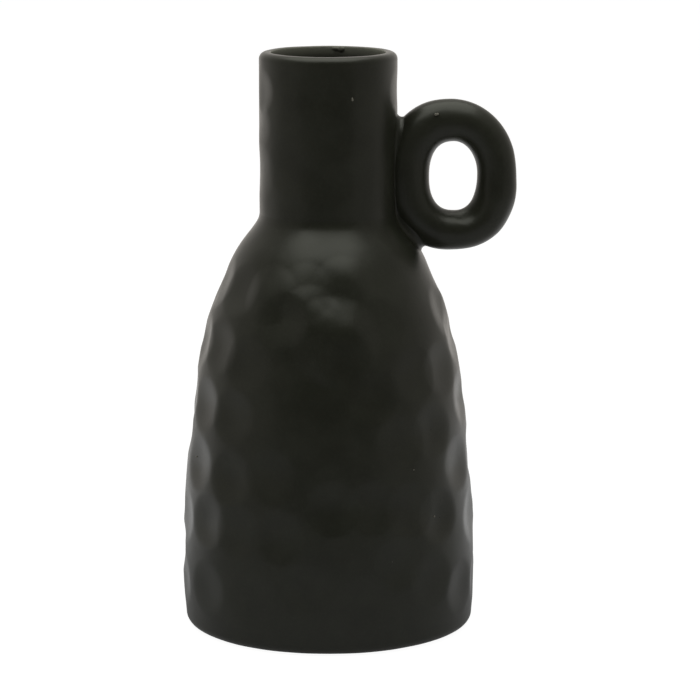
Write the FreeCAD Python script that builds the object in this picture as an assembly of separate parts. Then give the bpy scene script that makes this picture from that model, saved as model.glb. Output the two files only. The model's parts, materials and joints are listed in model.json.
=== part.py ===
"""A dimpled black stoneware lekythos with a ring handle.

The pot is five pieces of clay, joined with slip and fired as one: a slab for its base, a body wall with
finger-pressed dimples, a straight neck, a rolled ring handle pressed against the neck and the shoulder,
and the bead of slip along that ring's seam.
Millimetres, +Z up. The origin is on the pot's axis, on the surface it stands on. The ring handle points along +X.
"""

import FreeCAD
import Part
import math
import os

from FreeCAD import Vector

# Overall sizes. The shoulder ends in a crease under the neck.
TOTAL_HEIGHT = 250.0
SHOULDER_HEIGHT = 180.5
BELLY_RADIUS = 64.4
FOOT_RADIUS = 63.0
MOUTH_RADIUS = 24.4

# Thickness of the clay
NECK_THICKNESS = 5.5
WALL_THICKNESS = 5.6
FLOOR_THICKNESS = 6.0

# Base slab: a rounded foot, a shallow hollow under the floor, and clay pressed into the corner above it
FOOT_ROUND = 4.2
FOOT_RING_WIDTH = 7.0
FOOT_HOLLOW_DEPTH = 2.0
FOOT_HOLLOW_SLOPE = 2.5
CORNER_FILL = 8.0

# Lip at the top of the neck: the shares of the neck's thickness that its broad outer and tight inner rounds take
LIP_OUTER_ROUND_SHARE = 0.6
LIP_INNER_ROUND_SHARE = 0.14

# Outline of the body wall from the slab to the crease: the share of the wall's height,
# and the share of the way from the neck's radius out to the belly's radius
WALL_OUTLINE_SHARES = (
    (0.0, 0.968),
    (0.06, 0.994),
    (0.18, 0.99),
    (0.3, 0.957),
    (0.42, 0.903),
    (0.52, 0.852),
    (0.61, 0.788),
    (0.69, 0.718),
    (0.75, 0.647),
    (0.805, 0.533),
    (0.86, 0.405),
    (0.905, 0.295),
    (0.945, 0.155),
    (0.975, 0.046),
    (0.99, 0.009),
    (1.0, 0.0),
)

# Heights in the wall where its inside is set out: through the belly, at the shoulder, and above it
BELLY_INSIDE_SHARE = 0.35
SHOULDER_INSIDE_SHARE = 0.66
COLLAR_INSIDE_SHARE = 0.86

# Dimples in the body wall, where the potter's finger went in. Each row has the share of the wall's height, the
# share of the full depth, and the angles in degrees. Zero faces front and +90 is the handle's side. Their radius
# is a share of the wall's height, less than the lowest row's, so none reaches the slab.
DIMPLE_RADIUS_SHARE = 0.0725
DIMPLE_DEPTH = 1.5
DIMPLE_SHARES = (
    (0.078, 1.0, (-170, -150, -128, -104, -80, 63, 84, 105, 127, 148, 169)),
    (0.085, 0.5, (-31, 14)),
    (0.087, 0.9, (-55,)),
    (0.116, 0.5, (-10,)),
    (0.122, 0.8, (43.5,)),
    (0.145, 1.2, (-88,)),
    (0.16, 0.6, (90,)),
    (0.174, 0.7, (28,)),
    (0.243, 1.0, (-162, -141, -120, -99, -78, 77, 98, 118, 138, 158, 178)),
    (0.249, 0.6, (-38, -20)),
    (0.257, 1.0, (-56,)),
    (0.278, 1.0, (48.5,)),
    (0.305, 0.7, (34,)),
    (0.32, 0.65, (92,)),
    (0.322, 0.6, (1.5, 18)),
    (0.377, 0.9, (-43,)),
    (0.39, 1.0, (-170, -150, -129, -108, -66, 65, 87, 108, 129, 150, 170)),
    (0.394, 0.6, (-24,)),
    (0.458, 0.9, (-90,)),
    (0.475, 0.6, (31,)),
    (0.493, 0.8, (48,)),
    (0.53, 0.9, (-44,)),
    (0.54, 1.0, (-177, -156, -133, -110, -87, -65, 78, 99, 120, 141, 162)),
    (0.591, 0.6, (19,)),
    (0.635, 0.85, (40.5, 59)),
    (0.661, 0.7, (-39,)),
    (0.69, 1.0, (-168, -146, -124, -102, -80, -59, 82, 104, 126, 148, 170)),
    (0.69, 0.8, (7,)),
    (0.73, 0.5, (90,)),
    (0.759, 0.6, (25,)),
    (0.765, 1.0, (74,)),
    (0.765, 0.4, (-92,)),
    (0.771, 0.9, (-23,)),
    (0.829, 0.8, (-158, -132, -106, -80, -54, 100, 126, 152, 178)),
    (0.829, 1.55, (5.5,)),
    (0.893, 0.8, (-140, -36, 130)),
)

# Dents in the neck, each row as for the wall. Their radius is a share of the neck's height.
NECK_DENT_RADIUS_SHARE = 0.19
NECK_DENT_DEPTH = 1.2
NECK_DENT_SHARES = (
    (0.26, 0.25, (-3,)),
    (0.27, 0.5, (-76, 165)),
    (0.33, 0.4, (-33, 120)),
    (0.42, 0.5, (-125,)),
    (0.5, 0.25, (-3,)),
    (0.72, 0.7, (-150,)),
    (0.74, 0.25, (-3,)),
    (0.76, 1.2, (-73,)),
    (0.76, 0.8, (70, 150)),
)

# Ring handle: where its middle line runs, and its rod, which is squashed fatter where it is pressed to the pot
RING_STANDOFF = 3.3
RING_RISE = 16.1
RING_HALF_WIDTH = 19.7
RING_HALF_HEIGHT = 23.8
RING_ROD_RADIUS = 8.55
RING_TOP_SWELL = 0.15
RING_SEAT_SWELL = 1.1
RING_FREE_POWER = 2.06
RING_SAG_POWER = 2.26
RING_PRESSED_POWER = 2.2

# Bead of slip along the seam between the ring and the pot
SLIP_BEAD_RADIUS = 3.0

# How finely the smooth skins are laid out
SKIN_COLUMNS = 60
WALL_SKIN_SPANS = 40
NECK_SKIN_SPANS = 14
RING_COLUMNS = 28
ROD_COLUMNS = 12
SEAM_COLUMNS = 48
BEAD_COLUMNS = 8

# Sizes that follow from the ones above
BASE_THICKNESS = FOOT_HOLLOW_DEPTH + FLOOR_THICKNESS
WALL_HEIGHT = SHOULDER_HEIGHT - BASE_THICKNESS
NECK_RADIUS = MOUTH_RADIUS + NECK_THICKNESS
NECK_HEIGHT = TOTAL_HEIGHT - SHOULDER_HEIGHT
DIMPLE_RADIUS = WALL_HEIGHT * DIMPLE_RADIUS_SHARE
LIP_OUTER_ROUND = NECK_THICKNESS * LIP_OUTER_ROUND_SHARE
LIP_INNER_ROUND = NECK_THICKNESS * LIP_INNER_ROUND_SHARE
NECK_DENT_RADIUS = NECK_HEIGHT * NECK_DENT_RADIUS_SHARE
RING_CENTRE_REACH = NECK_RADIUS + RING_STANDOFF + RING_HALF_WIDTH
RING_CENTRE_HEIGHT = SHOULDER_HEIGHT + RING_RISE


def control_line(points, closed):
    """Control points of a cubic spline through the points. An open line keeps its two points at each end."""
    count = len(points)
    controls = []
    for i, here in enumerate(points):
        if closed or 1 < i < count - 2:
            here = here + (here * 2 - points[i - 1] - points[(i + 1) % count]) / 6
        controls.append(here)
    return controls


def knots(count, closed):
    """Even knots and their multiplicities for a cubic spline with that many control points."""
    if closed:
        return [float(i) for i in range(count + 1)], [1] * (count + 1)
    spans = count - 3
    return [float(i) for i in range(spans + 1)], [4] + [1] * (spans - 1) + [4]


def smooth_skin(rows, rows_closed):
    """One smooth face through a net of points. Every row is a closed loop."""
    rows = [control_line(row, True) for row in rows]
    columns = [control_line(list(column), rows_closed) for column in zip(*rows)]
    around_knots, around_counts = knots(len(columns), True)
    along_knots, along_counts = knots(len(rows), rows_closed)
    surface = Part.BSplineSurface()
    surface.buildFromPolesMultsKnots(
        columns, around_counts, along_counts, around_knots, along_knots, True, rows_closed, 3, 3
    )
    return surface.toShape()


def row_places(spans):
    """Where the rows of an open skin lie along its length, from 0 to 1. The two end spans hold one more row each."""
    return [0.0, 1 / 3 / spans] + [i / spans for i in range(1, spans)] + [1 - 1 / 3 / spans, 1.0]


def around(radius, height, degrees):
    """A point at that angle round the axis. Zero faces front and +90 is the handle's side."""
    angle = math.radians(degrees)
    return Vector(radius * math.sin(angle), -radius * math.cos(angle), height)


def pressed_in(point, dents):
    """How deep fingers have pushed the clay in at that point of the undented wall."""
    depth = 0.0
    for centre, radius, deepest in dents:
        reach = (point - centre).Length / radius
        if reach < 1:
            depth += deepest * (1 - reach**2) ** 1.5
    return depth


def dented_skin(outline, spans, dents):
    """The skin of a wall that turns about the axis, from the curve of its outline, pushed in at the dents."""
    first, last = outline.FirstParameter, outline.LastParameter
    rows = []
    for place in row_places(spans):
        at = first + (last - first) * place
        edge = outline.value(at)
        along = outline.tangent(at)[0]
        row = []
        for column in range(SKIN_COLUMNS):
            degrees = column * 360 / SKIN_COLUMNS
            point = around(edge.x, edge.z, degrees)
            outward = around(along.z, -along.x, degrees)
            row.append(point - outward * pressed_in(point, dents))
        rows.append(row)
    return smooth_skin(rows, False)


def flat_cap(rim, outward):
    """A flat face inside a rim, facing outward."""
    cap = Part.Face(Part.Wire([rim]))
    if cap.normalAt(0, 0).dot(outward) < 0:
        cap.reverse()
    return cap


def lump(skin):
    """A solid lump of clay inside a wall's skin, flat at its foot and at its top."""
    rims = [edge for edge in skin.Edges if edge.Closed]
    foot, top = sorted(rims, key=lambda edge: edge.CenterOfMass.z)
    return Part.Solid(Part.Shell([skin, flat_cap(foot, Vector(0, 0, -1)), flat_cap(top, Vector(0, 0, 1))]))


def line(start, end):
    """A straight edge."""
    return Part.LineSegment(start, end).toShape()


def arc(start, middle, end):
    """A circular edge through three points."""
    return Part.Arc(start, middle, end).toShape()


def turned(edges):
    """The solid that a closed outline of edges sweeps about the axis."""
    return Part.Face(Part.Wire(edges)).revolve(Vector(0, 0, 0), Vector(0, 0, 1), 360)


def wall_outline():
    """The curve of the body wall's side, from the slab to the crease under the neck."""
    points = []
    for height_share, radius_share in WALL_OUTLINE_SHARES:
        radius = NECK_RADIUS + (BELLY_RADIUS - NECK_RADIUS) * radius_share
        points.append(Vector(radius, 0, BASE_THICKNESS + WALL_HEIGHT * height_share))
    curve = Part.BSplineCurve()
    curve.interpolate(points)
    return curve


def neck_outline():
    """The straight side of the neck, from the crease to the lip."""
    return Part.LineSegment(Vector(NECK_RADIUS, 0, SHOULDER_HEIGHT), Vector(NECK_RADIUS, 0, TOTAL_HEIGHT))


def point_at(outline, height):
    """The point of an outline at a height."""
    level = Part.LineSegment(Vector(0, 0, height), Vector(BELLY_RADIUS * 2, 0, height))
    crossing = outline.intersect(level)[0]
    return Vector(crossing.X, 0, height)


def dents_in(outline, foot, height, rows, radius, depth):
    """The dents of a table of rows, in a wall of that height: each a centre, a radius and a depth."""
    dents = []
    for height_share, depth_share, angles in rows:
        edge = point_at(outline, foot + height * height_share)
        dents += [(around(edge.x, edge.z, degrees), radius, depth * depth_share) for degrees in angles]
    return dents


def wall_lump():
    """The dimpled body as a solid lump with its true outside."""
    outline = wall_outline()
    dents = dents_in(outline, BASE_THICKNESS, WALL_HEIGHT, DIMPLE_SHARES, DIMPLE_RADIUS, DIMPLE_DEPTH)
    return lump(dented_skin(outline, WALL_SKIN_SPANS, dents))


def neck_lump():
    """The dented neck as a solid rod with its true outside."""
    outline = neck_outline()
    dents = dents_in(outline, SHOULDER_HEIGHT, NECK_HEIGHT, NECK_DENT_SHARES, NECK_DENT_RADIUS, NECK_DENT_DEPTH)
    return lump(dented_skin(outline, NECK_SKIN_SPANS, dents))


def wall_inside():
    """The space inside the body wall, from the slab to the opening under the neck."""
    outline = wall_outline()

    def inner(height):
        """The point one wall thickness inside the outline at that height."""
        edge = point_at(outline, height)
        along = outline.tangent(outline.parameter(edge))[0]
        return edge - Vector(along.z, 0, -along.x) * WALL_THICKNESS

    low = inner(BASE_THICKNESS + CORNER_FILL)
    belly = inner(BASE_THICKNESS + WALL_HEIGHT * BELLY_INSIDE_SHARE)
    shoulder = inner(BASE_THICKNESS + WALL_HEIGHT * SHOULDER_INSIDE_SHARE)
    collar = inner(BASE_THICKNESS + WALL_HEIGHT * COLLAR_INSIDE_SHARE)
    corner = Vector(low.x - CORNER_FILL, 0, BASE_THICKNESS)
    opening = Vector(MOUTH_RADIUS, 0, SHOULDER_HEIGHT)
    bottom = Vector(0, 0, BASE_THICKNESS)
    top = Vector(0, 0, SHOULDER_HEIGHT)
    return turned(
        [
            line(bottom, corner),
            line(corner, low),
            arc(low, belly, shoulder),
            arc(shoulder, collar, opening),
            line(opening, top),
            line(top, bottom),
        ]
    )


def base_slab():
    """The slab that the wall stands on, with a rounded foot and a shallow hollow under the floor."""
    wall_foot = wall_outline().StartPoint
    round_centre = Vector(FOOT_RADIUS - FOOT_ROUND, 0, FOOT_ROUND)
    bend = FOOT_ROUND * math.sqrt(0.5)
    foot_outside = Vector(round_centre.x, 0, 0)
    foot_inside = Vector(round_centre.x - FOOT_RING_WIDTH, 0, 0)
    hollow_edge = Vector(foot_inside.x - FOOT_HOLLOW_SLOPE, 0, FOOT_HOLLOW_DEPTH)
    side_foot = Vector(FOOT_RADIUS, 0, FOOT_ROUND)
    hollow_middle = Vector(0, 0, FOOT_HOLLOW_DEPTH)
    top_middle = Vector(0, 0, BASE_THICKNESS)
    return turned(
        [
            line(hollow_middle, hollow_edge),
            line(hollow_edge, foot_inside),
            line(foot_inside, foot_outside),
            arc(foot_outside, round_centre + Vector(bend, 0, -bend), side_foot),
            line(side_foot, wall_foot),
            line(wall_foot, top_middle),
            line(top_middle, hollow_middle),
        ]
    )


def top_rims(piece):
    """The closed edges in a piece's top plane."""
    top = piece.BoundBox.ZMax
    return [edge for edge in piece.Edges if edge.Closed and edge.CenterOfMass.z > top - LIP_INNER_ROUND / 2]


def neck(clay):
    """The neck, bored from its lump of clay, with its lip rounded broadly outside and tightly inside."""
    bored = clay.cut(Part.makeCylinder(MOUTH_RADIUS, NECK_HEIGHT, Vector(0, 0, SHOULDER_HEIGHT)))
    outer = max(top_rims(bored), key=lambda edge: edge.Length)
    rounded = bored.makeFillet(LIP_OUTER_ROUND, [outer])
    inner = min(top_rims(rounded), key=lambda edge: edge.Length)
    return rounded.makeFillet(LIP_INNER_ROUND, [inner])


def ring_middle(turn):
    """A point on the middle line of the ring handle. It is pressed straight on its pot side and sags under its own
    weight at the bottom of its free side."""
    across, up = math.cos(turn), math.sin(turn)
    if across < 0:
        power = RING_PRESSED_POWER
    elif up < 0:
        power = RING_SAG_POWER
    else:
        power = RING_FREE_POWER
    reach = (abs(across) ** power + abs(up) ** power) ** (-1 / power)
    return Vector(
        RING_CENTRE_REACH + RING_HALF_WIDTH * reach * across, 0, RING_CENTRE_HEIGHT + RING_HALF_HEIGHT * reach * up
    )


def rod_loop(middle, along, outward, radius, columns):
    """A loop of points round a rod."""
    sideways = along.cross(outward)
    loop = []
    for column in range(columns):
        lean = math.tau * column / columns
        loop.append(middle + outward * (radius * math.cos(lean)) + sideways * (radius * math.sin(lean)))
    return loop


def closed_rod(loops):
    """A solid from the loops round a rod whose two ends meet."""
    rod = Part.Solid(Part.Shell([smooth_skin(loops, True)]))
    if rod.Volume < 0:
        rod.reverse()
    return rod


def whole_ring():
    """The ring handle before it is trimmed to the pot: a rolled rod bent into an oval hoop."""
    step = math.tau / RING_COLUMNS
    loops = []
    for column in range(RING_COLUMNS):
        turn = column * step
        along = (ring_middle(turn + step) - ring_middle(turn - step)).normalize()
        outward = Vector(along.z, 0, -along.x)
        pot_side_share = ((1 - math.cos(turn)) / 2) ** 2
        radius = RING_ROD_RADIUS + RING_TOP_SWELL * math.sin(turn) + RING_SEAT_SWELL * pot_side_share
        loops.append(rod_loop(ring_middle(turn), along, outward, radius, ROD_COLUMNS))
    return closed_rod(loops)


def slip_beads(ring, pot):
    """The slip that fills the corner along each seam between the ring handle and the pot."""
    beads = []
    for edges in Part.sortEdges(ring.Shells[0].section(pot.Shells[0]).Edges):
        seam = Part.Wire(edges).discretize(SEAM_COLUMNS + 1)[:-1]
        loops = []
        for i, point in enumerate(seam):
            along = (seam[(i + 1) % SEAM_COLUMNS] - seam[i - 1]).normalize()
            outward = (Vector(1, 0, 0) - along * along.x).normalize()
            loops.append(rod_loop(point, along, outward, SLIP_BEAD_RADIUS, BEAD_COLUMNS))
        beads.append(closed_rod(loops).cut(ring).cut(pot))
    return Part.makeCompound(beads)


body_clay = wall_lump()
neck_clay = neck_lump()
pot_clay = body_clay.fuse(neck_clay)
ring_clay = whole_ring()

pieces = {
    "base_slab": base_slab(),
    "body_wall": body_clay.cut(wall_inside()),
    "neck": neck(neck_clay),
    "ring_handle": ring_clay.cut(pot_clay),
    "handle_slip": slip_beads(ring_clay, pot_clay),
}

os.makedirs("parts", exist_ok=True)
for name, piece in pieces.items():
    piece.exportStep("parts/" + name + ".step")
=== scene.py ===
# %% [markdown]
# A hand-built black bottle with a ring handle.
# Five pieces of clay were joined with slip and glazed as one: a slab, a body wall with finger dimples, a
# straight neck, a ring handle, and the slip along the handle's seam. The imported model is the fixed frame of
# this scene. Its solids show the forms. Here each one gets a finer skin in the same place, and the black
# satin glaze.

# %% Load the frame
import json
import math

import bmesh
import bpy
import numpy as np
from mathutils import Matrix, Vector
from mathutils.bvhtree import BVHTree


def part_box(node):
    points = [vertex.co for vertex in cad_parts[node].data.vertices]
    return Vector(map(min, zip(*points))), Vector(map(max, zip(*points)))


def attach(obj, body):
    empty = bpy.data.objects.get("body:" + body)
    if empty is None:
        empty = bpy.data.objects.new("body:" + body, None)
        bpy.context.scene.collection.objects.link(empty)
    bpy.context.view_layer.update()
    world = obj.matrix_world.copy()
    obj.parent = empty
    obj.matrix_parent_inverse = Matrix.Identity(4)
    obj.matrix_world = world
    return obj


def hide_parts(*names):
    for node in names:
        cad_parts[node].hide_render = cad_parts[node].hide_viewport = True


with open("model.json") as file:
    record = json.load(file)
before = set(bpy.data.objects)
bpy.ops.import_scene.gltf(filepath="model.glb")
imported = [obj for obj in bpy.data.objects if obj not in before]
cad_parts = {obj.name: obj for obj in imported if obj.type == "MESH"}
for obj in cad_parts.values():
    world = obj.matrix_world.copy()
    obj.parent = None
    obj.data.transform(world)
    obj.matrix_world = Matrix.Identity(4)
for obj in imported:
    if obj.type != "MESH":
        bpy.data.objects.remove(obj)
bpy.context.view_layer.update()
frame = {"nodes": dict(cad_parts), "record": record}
print("the frame's nodes:", sorted(frame["nodes"]))

# %% [markdown]
# The sizes come first. Heights are read from the frame, so the skins meet where the solids meet. The rest
# are the pot's own measures, in metres, as a potter would take them with calipers.

# %% Sizes of the pot
SLAB_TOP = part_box("base_slab")[1].z
CREASE_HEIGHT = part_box("neck")[0].z
LIP_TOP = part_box("neck")[1].z
MM_PER_METRE = 1000
mounts = {mount["name"]: mount for mount in frame["record"]["mounts"]}
MOUTH_RADIUS = mounts["mouth"]["dims"]["r_mm"] / MM_PER_METRE
BELLY_RADIUS = 0.06439
FOOT_RADIUS = 0.063
NECK_THICKNESS = 0.0055
WALL_THICKNESS = 0.0056
NECK_RADIUS = MOUTH_RADIUS + NECK_THICKNESS
NECK_HEIGHT = LIP_TOP - CREASE_HEIGHT
WALL_HEIGHT = CREASE_HEIGHT - SLAB_TOP
print("wall", round(WALL_HEIGHT, 4), "neck", round(NECK_HEIGHT, 4), "neck radius", round(NECK_RADIUS, 4))

# %% [markdown]
# The camera stands as the photographer's did: 1.35 m in front of the pot's axis, some 13 cm above the lip,
# looking down by 10.8 degrees and a touch to the right. The long lens keeps the sides nearly parallel.

# %% Camera
CAMERA_DISTANCE = 1.354
CAMERA_HEIGHT = 0.378
LOOK_DOWN_DEGREES = 10.79
LOOK_RIGHT_DEGREES = 0.394
LENS_MM = 163.0


def place(thing):
    """Puts a new object into the scene."""
    bpy.context.scene.collection.objects.link(thing)
    return thing


camera = place(bpy.data.objects.new("camera", bpy.data.cameras.new("camera")))
camera.data.lens = LENS_MM
camera.location = (0, -CAMERA_DISTANCE, CAMERA_HEIGHT)
camera.rotation_euler = (math.radians(90 - LOOK_DOWN_DEGREES), 0, -math.radians(LOOK_RIGHT_DEGREES))
bpy.context.scene.camera = camera
bpy.context.scene.view_settings.view_transform = "Standard"
print("camera:", LENS_MM, "mm lens,", CAMERA_DISTANCE, "m away")

# %% [markdown]
# The studio is plain: a pale floor, soft light all round that is bright behind the pot and dim in front of
# it, and one large softbox overhead. A black pot shows little of its own colour. What is seen on it is the
# room mirrored in the glaze, so the dim front keeps the belly dark, and the bright back draws the pale line
# along both sides. The room could be built from white boards. A gradient in the world gives the same mirror
# image with less noise. The camera itself sees plain white past the pot.
#
# Every node tree below is written with one small helper, which makes a node, gives it its settings, and
# either fills in its sockets or links them to the outputs of earlier nodes.

# %% Soft light all round
BRIGHT_SIDE = (0.02, 0.965, -0.26)
ROOM_LEVELS = (
    (0.0, 0.03),
    (0.12, 0.05),
    (0.2, 0.2),
    (0.35, 0.2),
    (0.5, 0.26),
    (0.6, 0.34),
    (0.75, 0.47),
    (0.87, 0.56),
    (0.95, 0.85),
    (1.0, 1.15),
)
ROOM_TINT = (1.0, 0.95, 0.89)


def add(tree, kind, sockets={}, **settings):
    """A node with its settings. Each socket, by name or number, gets a value or an output to link."""
    made = tree.nodes.new(kind)
    for name, value in settings.items():
        setattr(made, name, value)
    for socket, value in sockets.items():
        if isinstance(value, bpy.types.NodeSocket):
            tree.links.new(value, made.inputs[socket])
        else:
            made.inputs[socket].default_value = value
    return made


def math_of(tree, operation, *values):
    """The result of one step of arithmetic on numbers that change over a surface."""
    return add(tree, "ShaderNodeMath", dict(enumerate(values)), operation=operation).outputs[0]


world = bpy.data.worlds.new("soft studio")
bpy.context.scene.world = world
world.use_nodes = True
sky = world.node_tree
sky.nodes.clear()
where = add(sky, "ShaderNodeTexCoord").outputs["Generated"]
towards_back = add(sky, "ShaderNodeVectorMath", {0: where, 1: BRIGHT_SIDE}, operation="DOT_PRODUCT")
share = add(sky, "ShaderNodeMapRange", {"Value": towards_back.outputs["Value"], 1: -1.0, 2: 1.0})
level = add(sky, "ShaderNodeValToRGB", {0: share.outputs["Result"]})
for place_share, _ in ROOM_LEVELS[1:-1]:
    level.color_ramp.elements.new(place_share)
for stop, (place_share, brightness) in zip(level.color_ramp.elements, ROOM_LEVELS):
    stop.position = place_share
    stop.color = (*(brightness * tint for tint in ROOM_TINT), 1)
room = add(sky, "ShaderNodeBackground", {"Color": level.outputs["Color"]})
white = add(sky, "ShaderNodeBackground", {"Color": (1, 1, 1, 1)})
seen = add(sky, "ShaderNodeLightPath")
sockets = {0: seen.outputs["Is Camera Ray"], 1: room.outputs[0], 2: white.outputs[0]}
choose = add(sky, "ShaderNodeMixShader", sockets)
add(sky, "ShaderNodeOutputWorld", {"Surface": choose.outputs[0]})
print("room:", len(sky.nodes), "nodes")

# %% [markdown]
# One softbox hangs over the pot. It lights the floor, and it is mirrored in each slope that faces up, which
# makes the grey bloom on the shoulder and on top of the ring. Its tint warms the bloom, as in the photograph.

# %% Overhead softbox
SOFTBOX_WIDTH = 1.55
SOFTBOX_DEPTH = 1.45
SOFTBOX_PLACE = (-0.08, -0.095, 1.35)
SOFTBOX_WATTS = 10.7
SOFTBOX_TINT = (0.975, 1.0, 0.89)

softbox = place(bpy.data.objects.new("overhead softbox", bpy.data.lights.new("overhead softbox", "AREA")))
softbox.data.shape = "RECTANGLE"
softbox.data.size = SOFTBOX_WIDTH
softbox.data.size_y = SOFTBOX_DEPTH
softbox.data.energy = SOFTBOX_WATTS
softbox.data.color = SOFTBOX_TINT
softbox.location = SOFTBOX_PLACE
print("softbox:", SOFTBOX_WIDTH, "by", SOFTBOX_DEPTH, "m,", SOFTBOX_WATTS, "W")

# %% [markdown]
# The floor is a wide pale sheet. To the camera it is mostly plain white, with enough of its own shading mixed
# in that the pot still leaves a soft shadow where it stands. In the glaze the floor is a painted reflection:
# there it glows, only near the pot, dim in front and brighter behind. The glow fades out with the distance,
# as the real table does, and past it the studio is seen.

# %% Floor
FLOOR_HALF = 6.0
FLOOR_GAP = 0.0002
FLOOR_COLOR = (0.92, 0.92, 0.92, 1.0)
FLOOR_ROUGHNESS = 0.9
FLOOR_SPECULAR = 0.1
FLOOR_OWN_SHADING = 0.2
FLOOR_GLOW = 1.2
FLOOR_FRONT_PAINTED_REFLECTION = 0.26
FLOOR_BACK_PAINTED_REFLECTION = 0.9
FLOOR_FRONT = -0.05
FLOOR_BACK = 0.25
FLOOR_NEAR = 0.1
FLOOR_FAR = 1.15

sheet = bpy.data.meshes.new("floor")
corners = [(-1, -1), (1, -1), (1, 1), (-1, 1)]
sheet.from_pydata([(x * FLOOR_HALF, y * FLOOR_HALF, -FLOOR_GAP) for x, y in corners], [], [(0, 1, 2, 3)])
floor = place(bpy.data.objects.new("floor", sheet))
paper = bpy.data.materials.new("pale floor")
paper.use_nodes = True
tree = paper.node_tree
matt = tree.nodes["Principled BSDF"]
matt.inputs["Base Color"].default_value = FLOOR_COLOR
matt.inputs["Roughness"].default_value = FLOOR_ROUGHNESS
matt.inputs["Specular IOR Level"].default_value = FLOOR_SPECULAR
seen = add(tree, "ShaderNodeLightPath")
glow = add(tree, "ShaderNodeEmission", {"Strength": FLOOR_GLOW})
share = math_of(tree, "MULTIPLY", seen.outputs["Is Camera Ray"], 1 - FLOOR_OWN_SHADING)
choose = add(tree, "ShaderNodeMixShader", {0: share, 1: matt.outputs[0], 2: glow.outputs[0]})
where = add(tree, "ShaderNodeTexCoord").outputs["Object"]
away = add(tree, "ShaderNodeVectorMath", {0: where}, operation="LENGTH").outputs["Value"]
sockets = {"Value": away, 1: FLOOR_NEAR, 2: FLOOR_FAR, 3: 1.0, 4: 0.0}
near = add(tree, "ShaderNodeMapRange", sockets, interpolation_type="SMOOTHERSTEP").outputs["Result"]
clear = add(tree, "ShaderNodeBsdfTransparent")
behind = add(tree, "ShaderNodeSeparateXYZ", {0: where}).outputs["Y"]
sockets = {"Value": behind, 1: FLOOR_FRONT, 2: FLOOR_BACK, 3: FLOOR_FRONT_PAINTED_REFLECTION, 4: FLOOR_BACK_PAINTED_REFLECTION}
strength = add(tree, "ShaderNodeMapRange", sockets, interpolation_type="SMOOTHSTEP").outputs["Result"]
# A painted reflection: the floor glows for glossy rays, dim in front and brighter behind.
dim = add(tree, "ShaderNodeEmission", {"Strength": strength})
mirrored = add(tree, "ShaderNodeMixShader", {0: near, 1: clear.outputs[0], 2: dim.outputs[0]})
sockets = {0: seen.outputs["Is Glossy Ray"], 1: choose.outputs[0], 2: mirrored.outputs[0]}
choose = add(tree, "ShaderNodeMixShader", sockets)
tree.links.new(choose.outputs[0], tree.nodes["Material Output"].inputs["Surface"])
sheet.materials.append(paper)
print("floor:", 2 * FLOOR_HALF, "m wide")

# %% [markdown]
# Each wall of the pot is turned: a closed outline of radius and height goes round the axis. Blender's Screw
# and Spin can do that too. Here the points are laid out directly, because each one also carries the direction
# that is outward for the clay there, which the finger marks need later. Points inside the pot carry no
# direction and stay where they are. The rims, where two walls meet, only move level, so the walls still meet.

# %% Helpers that lay out clay
COLUMNS = 300
SKIN_STEP = 0.0009
SHARP_DEGREES = 38.0
UPRIGHT = (0.0, 1.0)


def around(radius, height, degrees):
    """A point at that angle round the axis. Zero faces front and +90 is the handle's side."""
    angle = math.radians(degrees)
    return Vector((radius * math.sin(angle), -radius * math.cos(angle), height))


def tidy(mesh):
    """Turns the faces outward, and keeps the shading soft except at sharp corners."""
    work = bmesh.new()
    work.from_mesh(mesh)
    bmesh.ops.recalc_face_normals(work, faces=work.faces)
    work.to_mesh(mesh)
    work.free()
    mesh.shade_smooth()
    mesh.set_sharp_from_angle(angle=math.radians(SHARP_DEGREES))


def clay_object(name, points, faces, outward):
    """A mesh object at the origin whose points know which way is outward."""
    mesh = bpy.data.meshes.new(name)
    mesh.from_pydata([tuple(p) for p in points], [], faces)
    tidy(mesh)
    directions = mesh.attributes.new("outward", "FLOAT_VECTOR", "POINT")
    directions.data.foreach_set("vector", np.array([tuple(d) for d in outward], np.float32).ravel())
    return place(bpy.data.objects.new(name, mesh))


def faces_between(row, above):
    """The faces between two rows of points. Next to a pole, whose row is one point, they are triangles."""
    faces = []
    for column in range(len(row)):
        after = (column + 1) % len(row)
        face = list(dict.fromkeys([row[column], row[after], above[after], above[column]]))
        if len(face) > 2:
            faces.append(face)
    return faces


def turned(name, outside, inside, fading=0):
    """A closed wall: the outside outline, which takes finger marks, then the inside one, turned about the
    axis. The outline runs up the outside and down the inside. A point on the axis becomes a pole. Over the
    first fading points of the inside, the marks fade out."""
    outline = np.array(list(outside) + list(inside))
    marked = len(outside) + fading
    slope = np.gradient(outline[: marked + 1], axis=0)
    slope[0] = UPRIGHT
    if not fading:
        slope[len(outside) - 1] = UPRIGHT
    points, outward, rows = [], [], []
    for i, (radius, height) in enumerate(outline):
        columns = 1 if radius < SKIN_STEP else COLUMNS
        rows.append([len(points) + column % columns for column in range(COLUMNS)])
        lean = np.zeros(2)
        if i < marked:
            fade = min(1.0, (marked - i) / (fading + 1))
            lean = fade * slope[i] / np.linalg.norm(slope[i])
        for column in range(columns):
            degrees = column * 360 / COLUMNS
            points.append(around(radius, height, degrees))
            outward.append(around(lean[1], -lean[0], degrees))
    faces = []
    for row, above in zip(rows, rows[1:] + rows[:1]):
        faces += faces_between(row, above)
    return clay_object(name, points, faces, outward)


# %% [markdown]
# The body wall starts as a plain turned form: a wide foot that tapers up to the shoulder and sweeps into the
# neck. Its outline is a handful of shares of the wall's height and of its bulge, read up the wall, with a
# smooth spline through them. The inside follows at the wall's thickness, with clay pressed into the corner
# above the slab.

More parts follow.
